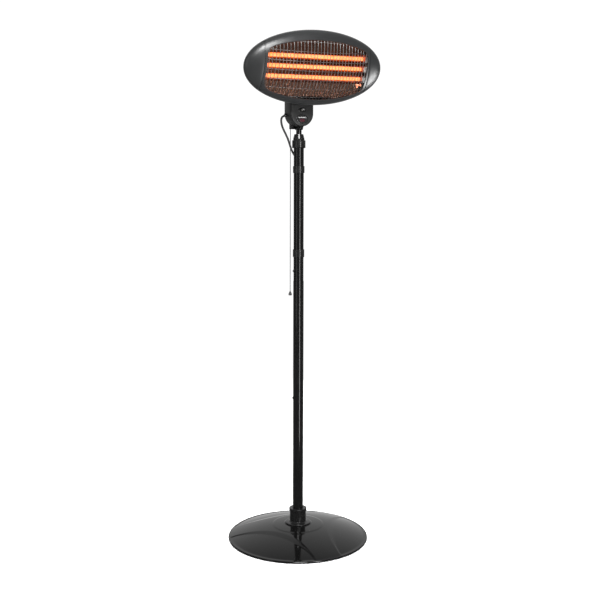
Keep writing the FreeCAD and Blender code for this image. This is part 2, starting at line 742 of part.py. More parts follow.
def reflector():
    radius, wall, half = cell("trough_radius"), cell("reflector_wall"), cell("reflector_half")
    pitch = cell("tube_pitch")
    back = block("trough_back", (-half, 0, -FAR), (half, 60, FAR))
    outer, inner = [], []
    for name, step in TUBES.items():
        z = pitch * step + TUBE_RISE
        outer.append(
            cylinder(f"trough_outer_{name}", radius + wall, half * 2, -half, 0, z, ALONG_X)
        )
        inner.append(
            cylinder(f"trough_inner_{name}", radius, half * 2 + 4, -half - 2, 0, z, ALONG_X)
        )
    troughs = cut(
        "troughs",
        common("trough_solid", fuse("trough_bars", *outer), back),
        fuse("trough_cuts", *inner),
    )
    edge = pitch + radius
    wings = []
    for side in (-1, 1):
        wing = block(f"wing_{side}", (-half, -0.8, 0), (half, 0.2, 46))
        lean = Rotation(Vector(1, 0, 0), 28 if side > 0 else 152)
        place(wing, -half, 0.4, edge * side + TUBE_RISE + 0.4 * side, lean)
        wings.append(wing)
    room = ellipsoid("reflector_room", head_long - 9, front_bulge - 9, head_high - 9)
    node("reflector", on_head(common("reflector", fuse("reflector_sheet", troughs, *wings), room)))

    plates, holders = [], []
    for side, low in (("left", -half - wall - 0.1), ("right", half + 0.1)):
        plate = block(f"end_plate_{side}", (low, -18, -50), (low + wall, 18, 56))
        holes = [
            cylinder(
                f"plate_hole_{side}_{name}", cell("tube_radius") + 0.6, 20,
                low - 10, cell("tube_y"), pitch * step + TUBE_RISE, ALONG_X,
            )
            for name, step in TUBES.items()
        ]
        drilled = cut(f"drilled_plate_{side}", plate, fuse(f"plate_holes_{side}", *holes))
        plates.append(common(f"plate_{side}", drilled, room))
    node("reflector_ends", on_head(group("reflector_ends", *plates)))


def heating_tubes():
    radius, half, y = cell("tube_radius"), cell("tube_half"), cell("tube_y")
    holders = []
    for name, step in TUBES.items():
        z = cell("tube_pitch") * step + TUBE_RISE
        glass = cut(
            f"quartz_{name}",
            cylinder(f"quartz_outer_{name}", radius, half * 2, -half, y, z, ALONG_X),
            cylinder(f"quartz_inner_{name}", radius - 1, half * 2 + 2, -half - 1, y, z, ALONG_X),
        )
        node(f"quartz_tube_{name}", on_head(glass))
        coil = cylinder(f"coil_{name}", 3.6, 342, -171, y, z, ALONG_X)
        node(f"heating_coil_{name}", on_head(group(f"heating_coil_{name}", coil)))
        for side, low in (("left", -191), ("right", 176)):
            body = block(f"holder_{side}_{name}", (low, y - 9, z - 9), (low + 15, y + 10, z + 9))
            seat = cylinder(f"holder_seat_{side}_{name}", radius + 0.1, 40, low - 10, y, z, ALONG_X)
            holders.append(cut(f"ceramic_{side}_{name}", body, seat))
    node("ceramic_holders", on_head(group("ceramic_holders", *holders)))
    links = []
    for side, low in (("left", -193), ("right", 192)):
        tall = cell("tube_pitch") + 7
        links.append(
            block(f"link_{side}", (low, y - 4, TUBE_RISE - tall), (low + 1, y + 4, tall + TUBE_RISE))
        )
    node("bus_links", on_head(group("bus_links", *links)))
    shield = block("shield_sheet", (-163, 24, -46), (163, 25, 52))
    node("heat_shield", on_head(group("heat_shield", shield)))


bezel()
rear_housing()
guard()
reflector()
heating_tubes()

# ---------------------------------------------------------------------------------------------
# Cords: the pull cord with its bead, and the supply cable with its plug
# ---------------------------------------------------------------------------------------------

BEAD_TOP = 892
CORD_TOP = 1465

# The supply cable, from the gland's mouth down to the pole's far side.
CABLE_LOOP = [
    (-48.6, 14.36, 1495), (-55.06, 14.6, 1492.5), (-58.7, 15.0, 1485.5), (-59.2, 15.1, 1475),
    (-56.4, 14.8, 1461.5), (-50.0, 13.4, 1446.5), (-41.9, 11.5, 1430.5), (-33.8, 11.0, 1413),
    (-27.0, 13.4, 1395.5), (-18.9, 16.4, 1378), (-6.0, 23.1, 1362.5), (4.6, 23.4, 1349),
    (9.56, 21.47, 1337), (9.56, 21.47, 1331),
]
# Down the pole through both clips.
CABLE_RUN = [
    (9.56, 21.47, 1331), (9.56, 21.47, 1285), (11.8, 21.7, 1190), (11.3, 22.5, 1100),
    (9.6, 21.6, 1042), (9.6, 21.5, 1010), (8.7, 22.6, 955), (8.0, 24.4, 865), (9.3, 24.8, 765),
    (11.2, 22.6, 665), (12.3, 21.2, 565), (11.8, 23.0, 465), (10.2, 24.8, 365), (8.9, 24.0, 270),
    (10.8, 24.2, 205), (12.69, 27.19, 165), (13.2, 28.6, 154),
]
# Over the base behind the pole, and along the floor to the plug.
CABLE_FLOOR = [
    (13.2, 28.6, 154), (14.9, 33.3, 117.3), (17.0, 39.5, 90), (21.0, 49.7, 70.5),
    (28.1, 65.2, 58.5), (37.9, 83.8, 54.5), (49.4, 107.2, 48.7), (61.1, 134.8, 42.2),
    (72.7, 164.6, 34.3), (84.0, 192.4, 25.8), (95.9, 217.8, 16.9), (106.6, 239.3, 9.5),
    (115.5, 258.4, 5.2), (124.0, 277.5, 5.6), (131.8, 296.0, 11.0), (138.2, 310.6, 18.4),
    (143.0, 321.6, 18.4),
]


def cord_wire(points):
    """A cord's centreline: straight runs joined by tangent arcs as large as they allow."""
    edges, radii, start = [], [], points[0]
    for before, corner, after in zip(points, points[1:], points[2:]):
        back, ahead = before - corner, after - corner
        reach = 0.45 * min(back.Length, ahead.Length)
        half_turn = (math.pi - back.getAngle(ahead)) / 2
        radius = reach / math.tan(half_turn)
        back.normalize()
        ahead.normalize()
        inward = back + ahead
        inward.normalize()
        middle = corner + inward * (radius / math.cos(half_turn) - radius)
        first, last = corner + back * reach, corner + ahead * reach
        edges += [
            Part.LineSegment(start, first).toShape(),
            Part.Arc(first, middle, last).toShape(),
        ]
        start = last
        radii.append(radius)
    edges.append(Part.LineSegment(start, points[-1]).toShape())
    return Part.Wire(edges), radii


def cord_tube(label, route, radius):
    """One solid of a cord along its route."""
    points = [Vector(*point) for point in route]
    wire, radii = cord_wire(points)
    section = Part.Wire([Part.makeCircle(radius, points[0], points[1] - points[0])])
    tube = wire.makePipeShell([section], True, True)
    obj = doc.addObject("Part::Feature", label)
    obj.Shape = tube
    expected = math.pi * radius * radius * wire.Length
    share = tube.Volume / expected
    print(f"{label}: {wire.Length:.0f} mm long, {share:.4f} of section x length, bends of", end=" ")
    print(" ".join(f"{bend:.0f}" for bend in radii), "mm")
    return node(label, obj)


def pull_cord():
    x, y = cell("cord_x"), cell("cord_y")
    strand = cylinder("pull_cord", cell("cord_radius"), CORD_TOP - BEAD_TOP + 4, x, y, BEAD_TOP - 4)
    node("pull_cord", strand)
    outline = [
        (cell("cord_radius"), -14.6), (4.4, -14.6), (5.5, -12.5), (5.2, -9.5), (3.2, -4),
        (2.2, 0), (cell("cord_radius"), 0),
    ]
    bead = turned("cord_bead", outline)
    node("cord_bead", place(bead, x, y, BEAD_TOP))


def supply_cable():
    radius = float(sheet.get("cable_radius"))
    cord_tube("cable_loop", CABLE_LOOP, radius)
    cord_tube("cable_run", CABLE_RUN, radius)
    cord_tube("cable_floor", CABLE_FLOOR, radius)


def mains_plug():
    """The plug lies on the floor in line with the end of the cable."""
    end, before = Vector(*CABLE_FLOOR[-1]), Vector(*CABLE_FLOOR[-2])
    along = Vector(end.x - before.x, end.y - before.y, 0)
    turn = Rotation(Vector(0, 0, 1), along)
    outline = [
        (0, 0), (4.6, 0), (6.2, 24), (11, 28), (16.5, 32), (18.2, 38), (18.2, 62), (17, 64), (0, 64),
    ]
    body = turned("mains_plug", outline)
    body.Placement = Placement(end, turn)
    node("mains_plug", body)
    pins = []
    for side in (-1, 1):
        pin = cylinder(f"pin_{side}", 2.4, 19, side * 9.5, 0, 64)
        pins.append(pin)
    both = group("plug_pins", *pins)
    both.Placement = Placement(end, turn)
    node("plug_pins", both)


pull_cord()
supply_cable()
mains_plug()

# ---------------------------------------------------------------------------------------------
# Checks and export
# ---------------------------------------------------------------------------------------------

doc.recompute()
faults = [obj.Name for obj in doc.Objects if {"Invalid", "Error"} & set(obj.State)]
faults += [
    label for label, obj in nodes.items() if obj.Shape.isNull() or not obj.Shape.isValid()
]
if faults:
    raise RuntimeError(f"these objects failed: {faults}")
os.makedirs("parts", exist_ok=True)
for label, obj in nodes.items():
    obj.Shape.exportStep(f"parts/{label}.step")
    print(f"{label}: {len(obj.Shape.Solids)} solids, {obj.Shape.Volume / 1000:.2f} cm3")
print(len(nodes), "sub-parts")
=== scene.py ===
import json
import math

import bmesh
import bpy
from mathutils import Euler, Matrix, Vector


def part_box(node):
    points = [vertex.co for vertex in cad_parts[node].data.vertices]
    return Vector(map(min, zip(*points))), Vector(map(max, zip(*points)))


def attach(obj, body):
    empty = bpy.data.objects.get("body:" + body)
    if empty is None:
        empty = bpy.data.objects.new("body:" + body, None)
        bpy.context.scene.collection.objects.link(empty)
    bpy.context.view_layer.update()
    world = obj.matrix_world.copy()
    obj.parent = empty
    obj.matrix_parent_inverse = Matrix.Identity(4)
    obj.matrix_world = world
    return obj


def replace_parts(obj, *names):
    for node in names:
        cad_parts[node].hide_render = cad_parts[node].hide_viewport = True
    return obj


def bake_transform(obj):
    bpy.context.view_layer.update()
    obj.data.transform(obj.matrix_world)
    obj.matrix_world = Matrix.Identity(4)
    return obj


# A free-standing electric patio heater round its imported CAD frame. Metres, in the CAD's frame:
# the origin is on the floor under the pole, +Z is up, and the heater looks towards -Y.

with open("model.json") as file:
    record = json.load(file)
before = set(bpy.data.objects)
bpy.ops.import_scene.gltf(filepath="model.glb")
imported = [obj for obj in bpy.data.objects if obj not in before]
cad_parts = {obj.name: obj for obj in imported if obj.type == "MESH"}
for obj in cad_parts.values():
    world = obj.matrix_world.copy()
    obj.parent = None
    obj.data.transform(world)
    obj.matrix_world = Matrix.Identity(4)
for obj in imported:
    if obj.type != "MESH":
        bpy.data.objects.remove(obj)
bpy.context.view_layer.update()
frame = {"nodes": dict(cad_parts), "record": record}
scene = bpy.context.scene
MM = 0.001

# ---------------------------------------------------------------------------------------------
# Camera, floor and studio light
# ---------------------------------------------------------------------------------------------


def camera():
    data = bpy.data.cameras.new("camera")
    data.lens = 58.512
    data.sensor_width = 36
    data.clip_end = 100
    eye = bpy.data.objects.new("camera", data)
    eye.location = (-1.3726, -3.083, 1.33)
    eye.rotation_euler = Euler([math.radians(a) for a in (82.116, -0.161, -24.071)])
    scene.collection.objects.link(eye)
    scene.camera = eye


def softbox(name, place, target, wide, tall, watts, mirrored=True):
    data = bpy.data.lights.new(name, "AREA")
    data.shape = "RECTANGLE"
    data.size, data.size_y = wide, tall
    data.energy = watts
    lamp = bpy.data.objects.new(name, data)
    lamp.location = place
    aim = Vector(target) - Vector(place)
    lamp.rotation_euler = aim.to_track_quat("-Z", "Y").to_euler()
    lamp.visible_camera = False
    lamp.visible_glossy = mirrored
    scene.collection.objects.link(lamp)


def backdrop():
    """A white studio whose wall, as the heater mirrors it, falls off towards the front."""
    world = bpy.data.worlds.new("backdrop")
    world.use_nodes = True
    tree = world.node_tree
    coords = tree.nodes.new("ShaderNodeTexCoord")
    facing = tree.nodes.new("ShaderNodeVectorMath")
    facing.operation = "DOT_PRODUCT"
    facing.inputs[1].default_value = (0.389, 0.871, 0.30)
    spread = tree.nodes.new("ShaderNodeMapRange")
    spread.interpolation_type = "SMOOTHSTEP"
    spread.inputs["From Min"].default_value = 0.42
    spread.inputs["From Max"].default_value = 0.97
    spread.inputs["To Min"].default_value = 0.15
    spread.inputs["To Max"].default_value = 0.72
    rays = tree.nodes.new("ShaderNodeLightPath")
    seen = tree.nodes.new("ShaderNodeMix")
    seen.data_type = "FLOAT"
    seen.inputs["B"].default_value = 1.05
    tree.links.new(coords.outputs["Generated"], facing.inputs[0])
    tree.links.new(facing.outputs["Value"], spread.inputs["Value"])
    tree.links.new(rays.outputs["Is Camera Ray"], seen.inputs["Factor"])
    tree.links.new(spread.outputs["Result"], seen.inputs["A"])
    tree.links.new(seen.outputs["Result"], tree.nodes["Background"].inputs["Strength"])
    tree.nodes["Background"].inputs["Color"].default_value = (1, 1, 1, 1)
    scene.world = world
    scene.view_settings.view_transform = "Standard"


def studio():
    softbox("overhead", (-0.3, 0.3, 5.0), (-0.3, 0.3, 0), 5.0, 5.0, 560, mirrored=False)
    softbox("strip_right", (0.118, -1.13, 0.80), (0, 0, 0.80), 0.15, 1.54, 11)
    softbox("strip_left", (-3.0, -1.1, 1.4), (0, 0, 1.0), 0.4, 2.4, 8)
    softbox("side_right", (2.62, -0.62, 0.22), (0.2, -0.1, 1.6), 1.0, 1.0, 84)
    softbox("key_high", (-0.91, -2.6, 2.95), (0, -0.12, 1.64), 1.1, 1.1, 165)


camera()
backdrop()
studio()

# ---------------------------------------------------------------------------------------------
# Materials
# ---------------------------------------------------------------------------------------------

NOISE_LOW, NOISE_HIGH = 0.3, 0.7


class Finish:
    """A node material in the making, with its patterns in the piece's own coordinates."""

    def __init__(self, name, **sockets):
        self.material = bpy.data.materials.new(name)
        self.material.use_nodes = True
        self.tree = self.material.node_tree
        self.shader = self.tree.nodes["Principled BSDF"]
        self.coords = self.add("ShaderNodeTexCoord").outputs["Object"]
        for socket, value in sockets.items():
            self.shader.inputs[socket.replace("_", " ")].default_value = value

    def add(self, kind, **settings):
        made = self.tree.nodes.new(kind)
        for key, value in settings.items():
            setattr(made, key, value)
        return made

    def join(self, start, end):
        self.tree.links.new(start, end)

    def noise(self, scale, detail=3, stretch=(1, 1, 1)):
        mapping = self.add("ShaderNodeMapping")
        mapping.inputs["Scale"].default_value = stretch
        self.join(self.coords, mapping.inputs["Vector"])
        texture = self.add("ShaderNodeTexNoise")
        texture.inputs["Scale"].default_value = scale
        texture.inputs["Detail"].default_value = detail
        self.join(mapping.outputs["Vector"], texture.inputs["Vector"])
        return texture.outputs["Fac"]

    def tint(self, pattern, *colours, socket="Base Color"):
        """Colours the surface by a pattern, from the first colour to the last."""
        ramp = self.add("ShaderNodeValToRGB")
        stops = ramp.color_ramp.elements
        for index, colour in enumerate(colours):
            share = index / (len(colours) - 1)
            stops[index].position = NOISE_LOW + (NOISE_HIGH - NOISE_LOW) * share
            stops[index].color = (*colour, 1)
        self.join(pattern, ramp.inputs["Fac"])
        self.join(ramp.outputs["Color"], self.shader.inputs[socket])
        return self

    def roughen(self, pattern, low, high):
        spread = self.add("ShaderNodeMapRange")
        spread.inputs["From Min"].default_value = NOISE_LOW
        spread.inputs["From Max"].default_value = NOISE_HIGH
        spread.inputs["To Min"].default_value = low
        spread.inputs["To Max"].default_value = high
        self.join(pattern, spread.inputs["Value"])
        self.join(spread.outputs["Result"], self.shader.inputs["Roughness"])
        return self

    def emboss(self, pattern, strength, depth):
        bump = self.add("ShaderNodeBump")
        bump.inputs["Strength"].default_value = strength
        bump.inputs["Distance"].default_value = depth
        self.join(pattern, bump.inputs["Height"])
        self.join(bump.outputs["Normal"], self.shader.inputs["Normal"])
        return self


def shade(value, warm=0.0):
    return (value * (1 + warm), value, value * (1 - warm))


def enamel(name, value, rough, peel):
    """Baked enamel: an even black with slight orange peel."""
    finish = Finish(name, Specular_IOR_Level=0.35)
    finish.tint(finish.noise(6), shade(value * 0.8), shade(value * 1.25))
    finish.roughen(finish.noise(18), rough * 0.8, rough * 1.25)
    return finish.emboss(finish.noise(420, 2), peel, 0.00012).material


def moulded(name, value, rough, grain, depth, warm=0.0):
    """Moulded plastic or rubber with a fine spark-eroded grain."""
    finish = Finish(name, Specular_IOR_Level=0.4)
    finish.tint(finish.noise(14), shade(value * 0.85, warm), shade(value * 1.15, warm))
    finish.roughen(finish.noise(30), rough * 0.88, rough * 1.12)
    return finish.emboss(finish.noise(grain, 4), 0.35, depth).material


def plated(name, value, rough, stretch=(1, 1, 1), warm=0.0):
    """Bare or plated metal with a drawn grain along one direction."""
    finish = Finish(name, Metallic=1.0)
    finish.tint(finish.noise(9), shade(value * 0.86, warm), shade(value, warm))
    finish.roughen(finish.noise(260, 4, stretch), rough * 0.7, rough * 1.4)
    return finish.emboss(finish.noise(260, 3, stretch), 0.12, 0.00005).material


def painted_head():
    """Fine-textured satin paint on the head's shell."""
    finish = Finish("head_paint", Specular_IOR_Level=0.4)
    finish.tint(finish.noise(5), (0.0120, 0.0124, 0.0127), (0.0165, 0.0170, 0.0173))
    finish.roughen(finish.noise(40), 0.30, 0.37)
    return finish.emboss(finish.noise(1100, 4), 0.12, 0.00006).material


def reflector_sheet():
    """Polished sheet, drawn along X, tinted a warm orange-brown all over."""
    finish = Finish("polished_aluminium", Metallic=1.0)
    finish.tint(finish.noise(14, 3, (0.4, 1, 2)), (0.34, 0.17, 0.12), (0.44, 0.25, 0.18))
    finish.roughen(finish.noise(320, 4, (0.02, 1, 1)), 0.14, 0.24)
    return finish.emboss(finish.noise(320, 3, (0.02, 1, 1)), 0.10, 0.00004).material


def quartz_painted_glow():
    """Fused quartz with a painted orange glow: its emission stands in for the light of the wire
    inside it.
    """
    # The glass's emission is painted glow, not light that comes from the wire.
    finish = Finish(
        "quartz", Transmission_Weight=0.8, IOR=1.46, Emission_Strength=0.46, Roughness=0.10
    )
    bands = finish.noise(60, 3, (1, 0.3, 0.3))
    finish.tint(bands, (1.0, 0.62, 0.42), (1.0, 0.72, 0.52))
    # The colour of the painted glow, streaked along the tube.
    finish.tint(bands, (0.95, 0.24, 0.03), (1.0, 0.31, 0.05), socket="Emission Color")
    return finish.material


def glowing_wire():
    finish = Finish("glowing_wire", Roughness=0.5, Emission_Strength=0.9)
    heat = finish.noise(40, 2)
    finish.tint(heat, (0.30, 0.12, 0.05), (0.40, 0.18, 0.08))
    finish.tint(heat, (1.0, 0.40, 0.15), (1.0, 0.53, 0.27), socket="Emission Color")
    return finish.material


def braided(name, value, lay):
    """Braided cord: two waves crossing at a slant, along Z."""
    finish = Finish(name, Specular_IOR_Level=0.25)
    finish.tint(finish.noise(300), shade(value * 0.7), shade(value * 1.3))
    finish.roughen(finish.noise(200), 0.6, 0.8)
    wave = finish.add("ShaderNodeTexWave", wave_type="BANDS", bands_direction="DIAGONAL")
    wave.inputs["Scale"].default_value = lay
    wave.inputs["Distortion"].default_value = 2
    finish.join(finish.coords, wave.inputs["Vector"])
    return finish.emboss(wave.outputs["Fac"], 0.6, 0.0003).material


def coloured(name, colour):
    """Glossy print under a clear coat."""
    finish = Finish(name, Specular_IOR_Level=0.4)
    finish.tint(finish.noise(60), [c * 0.85 for c in colour], [c * 1.15 for c in colour])
    finish.roughen(finish.noise(90), 0.28, 0.36)
    return finish.emboss(finish.noise(500, 2), 0.2, 0.00003).material


def floor_sheet():
    """Plain white seamless paper."""
    finish = Finish("floor", Specular_IOR_Level=0.3)
    finish.tint(finish.noise(2), shade(0.90), shade(0.92))
    return finish.roughen(finish.noise(3), 0.34, 0.36).material


MATERIALS = {
    "black_enamel": enamel("black_enamel", 0.0022, 0.08, 0.03),
    "pole_black": enamel("pole_black", 0.003, 0.11, 0.01),
    "head_paint": painted_head(),
    "guard_wire": plated("guard_wire", 0.24, 0.32),
    "polished_aluminium": reflector_sheet(),
    "sheet_steel": plated("sheet_steel", 0.42, 0.42, (1, 1, 0.1)),
    "fastener_black": plated("fastener_black", 0.05, 0.45),
    "fastener_steel": plated("fastener_steel", 0.48, 0.32),
    "box_plastic": moulded("box_plastic", 0.008, 0.42, 900, 0.00006),
    "joint_plastic": moulded("joint_plastic", 0.006, 0.22, 700, 0.00002),
    "badge_plastic": moulded("badge_plastic", 0.012, 0.22, 500, 0.00004),
    "lamp_lens": moulded("lamp_lens", 0.15, 0.34, 500, 0.00003, 0.04),
    "rubber_black": moulded("rubber_black", 0.014, 0.70, 500, 0.0002),
    "cable_rubber": moulded("cable_rubber", 0.016, 0.52, 600, 0.0001),
    "cord_grey": braided("cord_grey", 0.045, 260),
    "quartz": quartz_painted_glow(),
    "ceramic_white": moulded("ceramic_white", 0.66, 0.60, 800, 0.0002, 0.03),
    "copper_alloy": plated("copper_alloy", 0.50, 0.35, warm=0.35),
    "cast_weight": moulded("cast_weight", 0.10, 0.85, 260, 0.0008),
    "glowing_wire": glowing_wire(),
    "floor": floor_sheet(),
    "badge_red": coloured("badge_red", (0.034, 0.003, 0.008)),
    "badge_silver": plated("badge_silver", 0.55, 0.46),
}

# ---------------------------------------------------------------------------------------------
# Mesh tools
# ---------------------------------------------------------------------------------------------

AUTO_ANGLE = math.radians(32)
WIRE_ANGLE = math.radians(60)


def joined_rows(rows, closed, first=0):
    """Quads between rows of equal length; closed rows run all the way round."""
    faces, count = [], len(rows[0])
    for row in range(len(rows) - 1):
        low, high = first + row * count, first + (row + 1) * count
        for a in range(count if closed else count - 1):
            b = (a + 1) % count
            faces.append((low + a, low + b, high + b, high + a))
    return faces


def new_mesh(name, rows, closed=True, caps=()):
    """A mesh of rows of points. caps names the ends that a single face closes."""
    points = [tuple(point) for row in rows for point in row]
    faces = joined_rows(rows, closed)
    count = len(rows[0])
    if "first" in caps:
        faces.append(tuple(reversed(range(count))))
    if "last" in caps:
        faces.append(tuple(range(len(points) - count, len(points))))
    mesh = bpy.data.meshes.new(name)
    mesh.from_pydata(points, [], faces)
    return mesh


def shown(name, mesh, material, transform=None):
    """Links a smooth mesh as an object in its material, its points moved by the transform."""
    if transform is not None:
        mesh.transform(transform)
    mesh.update()
    mesh.shade_smooth()
    obj = bpy.data.objects.new(name, mesh)
    scene.collection.objects.link(obj)
    obj.data.materials.append(MATERIALS[material])
    return obj


def modify(obj, kind, **settings):
    modifier = obj.modifiers.new(kind.lower(), kind)
    for key, value in settings.items():
        setattr(modifier, key, value)


def settle(obj):
    """Applies the modifiers and marks the sharp edges."""
    bpy.context.view_layer.update()
    graph = bpy.context.evaluated_depsgraph_get()
    mesh = bpy.data.meshes.new_from_object(obj.evaluated_get(graph))
    obj.modifiers.clear()
    obj.data = mesh
    mesh.shade_smooth()
    mesh.set_sharp_from_angle(angle=AUTO_ANGLE)


def outward(mesh, centre):
    """Turns the faces so that they look away from a point."""
    facing = sum((face.center - centre).dot(face.normal) * face.area for face in mesh.polygons)
    if facing < 0:
        mesh.flip_normals()
    return mesh


def closed_outward(mesh):
    """Turns the faces of every closed piece outwards."""
    shape = bmesh.new()
    shape.from_mesh(mesh)
    bmesh.ops.recalc_face_normals(shape, faces=shape.faces)
    shape.to_mesh(mesh)
    shape.free()


def sheet_metal(obj, wall, edge):
    """Gives an open skin its wall, inwards, with rounded edges."""
    modify(obj, "SOLIDIFY", thickness=wall, offset=-1, use_even_offset=True)
    modify(obj, "BEVEL", width=edge, segments=3, limit_method="ANGLE", angle_limit=0.8)
    settle(obj)


def swept_rows(points, radius, sides):
    """Rings of a wire along points, turned as little as possible from one to the next."""
    points = [Vector(point) for point in points]
    count = len(points)
    rows = []
    side = None
    for index, point in enumerate(points):
        along = points[min(index + 1, count - 1)] - points[max(index - 1, 0)]
        along.normalize()
        if side is None:
            side = along.orthogonal()
        side = (side - along * side.dot(along)).normalized()
        other = along.cross(side)
        rows.append([
            point + (side * math.cos(turn) + other * math.sin(turn)) * radius
            for turn in (2 * math.pi * step / sides for step in range(sides))
        ])
    return rows


def capped_mesh(name, pieces):
    """One mesh of several closed pieces, each given as rings that run from cap to cap."""
    points, faces = [], []
    for rows in pieces:
        first, sides = len(points), len(rows[0])
        faces += joined_rows(rows, True, first)
        points += [tuple(point) for row in rows for point in row]
        faces.append(tuple(range(first + sides - 1, first - 1, -1)))
        faces.append(tuple(range(len(points) - sides, len(points))))
    mesh = bpy.data.meshes.new(name)
    mesh.from_pydata(points, [], faces)
    return mesh


def wires(name, routes, sides):
    """One mesh of several capped wires. A route is (points, radius)."""
    return capped_mesh(name, [swept_rows(route, radius, sides) for route, radius in routes])


def turned_mesh(name, outline, sides):
    """A closed body turned about Z from (radius, height) corners, from its foot on the axis."""
    rows = []
    for radius, height in outline:
        rows.append([
            (radius * math.cos(turn), radius * math.sin(turn), height)
            for turn in (2 * math.pi * step / sides for step in range(sides))
        ])
    mesh = new_mesh(name, rows, True, ("first", "last"))
    return outward(mesh, Vector((0, 0, (outline[0][1] + outline[-1][1]) / 2)))


def rounded(outline, radius):
    """Rounds each inner corner of an open outline with a small curve."""
    path, steps = [outline[0]], 4
    for before, corner, after in zip(outline, outline[1:], outline[2:]):
        before, corner, after = Vector(before), Vector(corner), Vector(after)
        back, ahead = before - corner, after - corner
        reach = min(radius, back.length * 0.45, ahead.length * 0.45)
        start, end = corner + back.normalized() * reach, corner + ahead.normalized() * reach
        for step in range(steps + 1):
            t = step / steps
            path.append(tuple(start * (1 - t) ** 2 + corner * 2 * t * (1 - t) + end * t ** 2))
    path.append(outline[-1])
    return path


def smoothstep(value):
    value = min(1.0, max(0.0, value))
    return value * value * (3 - 2 * value)


# ---------------------------------------------------------------------------------------------
# Cords. The supply cable's route repeats the CAD's, in metres
# ---------------------------------------------------------------------------------------------

CABLE_LOOP = [
    (-0.0486, 0.01436, 1.495), (-0.05506, 0.0146, 1.4925), (-0.0587, 0.0150, 1.4855),
    (-0.0592, 0.0151, 1.475), (-0.0564, 0.0148, 1.4615), (-0.0500, 0.0134, 1.4465),
    (-0.0419, 0.0115, 1.4305), (-0.0338, 0.0110, 1.413), (-0.0270, 0.0134, 1.3955),
    (-0.0189, 0.0164, 1.378), (-0.0060, 0.0231, 1.3625), (0.0046, 0.0234, 1.349),
    (0.00956, 0.02147, 1.337), (0.00956, 0.02147, 1.331),
]
CABLE_DOWN = [
    (0.00956, 0.02147, 1.331), (0.00956, 0.02147, 1.285), (0.0118, 0.0217, 1.190),
    (0.0113, 0.0225, 1.100), (0.0096, 0.0216, 1.042), (0.0096, 0.0215, 1.010),
    (0.0087, 0.0226, 0.955), (0.0080, 0.0244, 0.865), (0.0093, 0.0248, 0.765),
    (0.0112, 0.0226, 0.665), (0.0123, 0.0212, 0.565), (0.0118, 0.0230, 0.465),
    (0.0102, 0.0248, 0.365), (0.0089, 0.0240, 0.270), (0.0108, 0.0242, 0.205),
    (0.0127, 0.0272, 0.165), (0.0149, 0.0333, 0.1173), (0.0170, 0.0395, 0.090),
    (0.0210, 0.0497, 0.0705), (0.0281, 0.0652, 0.0585), (0.0379, 0.0838, 0.0545),
    (0.0494, 0.1072, 0.0487), (0.0611, 0.1348, 0.0422), (0.0727, 0.1646, 0.0343),
    (0.0840, 0.1924, 0.0258), (0.0959, 0.2178, 0.0169), (0.1066, 0.2393, 0.0095),
    (0.1155, 0.2584, 0.0052), (0.1240, 0.2775, 0.0056), (0.1318, 0.2960, 0.0110),
    (0.1382, 0.3106, 0.0184), (0.1430, 0.3216, 0.0184),
]
CABLE_RADIUS = 3.5 * MM
CORD_RADIUS = 1.2 * MM


def spline_points(name, route):
    """Points along the smooth line that a route's points control."""
    curve = bpy.data.curves.new(name, "CURVE")
    curve.dimensions = "3D"
    curve.resolution_u = 12
    spline = curve.splines.new("NURBS")
    spline.points.add(len(route) - 1)
    for point, place in zip(spline.points, route):
        point.co = (*place, 1)
    spline.order_u = 3
    spline.use_endpoint_u = True
    line = bpy.data.objects.new(name, curve)
    mesh = bpy.data.meshes.new_from_object(line)
    points = [vertex.co.copy() for vertex in mesh.vertices]
    bpy.data.objects.remove(line)
    return points


def cable(name, route, nodes):
    """A length of the supply cable, one fixed curve along its route between two bodies."""
    points = spline_points(name + "_line", route)
    mesh = wires(name, [(points, CABLE_RADIUS)], 16)
    piece = shown(name, mesh, "cable_rubber")
    mesh.set_sharp_from_angle(angle=WIRE_ANGLE)
    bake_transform(piece)
    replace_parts(piece, *nodes)


def mains_plug():
    """A round plug with a grip that steps in, and a ribbed sleeve where the cable enters."""
    outline = [(0.0006, 0), (4.6, 0)]
    for rib in range(5):
        foot = 2.2 + 4.4 * rib
        swell = 4.7 + 0.32 * rib
        outline += [(swell, foot), (swell, foot + 2.4), (swell - 0.9, foot + 2.9)]
        outline += [(swell - 0.9, foot + 3.9)]
    outline += [
        (7.4, 25), (10.5, 28), (15.5, 31), (17.6, 36), (17.6, 44), (16.9, 46), (16.9, 52),
        (17.9, 54), (17.9, 61), (16.8, 63.8), (12.5, 63.8), (12.2, 62.6), (0.0006, 62.6),
    ]
    points = rounded([(radius * MM, height * MM) for radius, height in outline], 0.8 * MM)
    end, before = Vector(CABLE_DOWN[-1]), Vector(CABLE_DOWN[-2])
    turn = (end - before).to_track_quat("Z", "X").to_matrix().to_4x4()
    mesh = turned_mesh("plug_body", points, 56)
    plug = shown("plug_body", mesh, "joint_plastic", Matrix.Translation(end) @ turn)
    mesh.set_sharp_from_angle(angle=AUTO_ANGLE)
    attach(plug, "stand")
    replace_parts(plug, "mains_plug")
    return plug


def supply_cable():
    """One length from the box to the pole, and one down the pole and out to the plug."""
    pieces = [mains_plug(), frame["nodes"]["plug_pins"]]
    cable(
        "cable_upper", CABLE_LOOP,
        ["cable_loop"],
    )
    cable(
        "cable_lower", CABLE_DOWN,
        ["cable_run", "cable_floor"],
    )


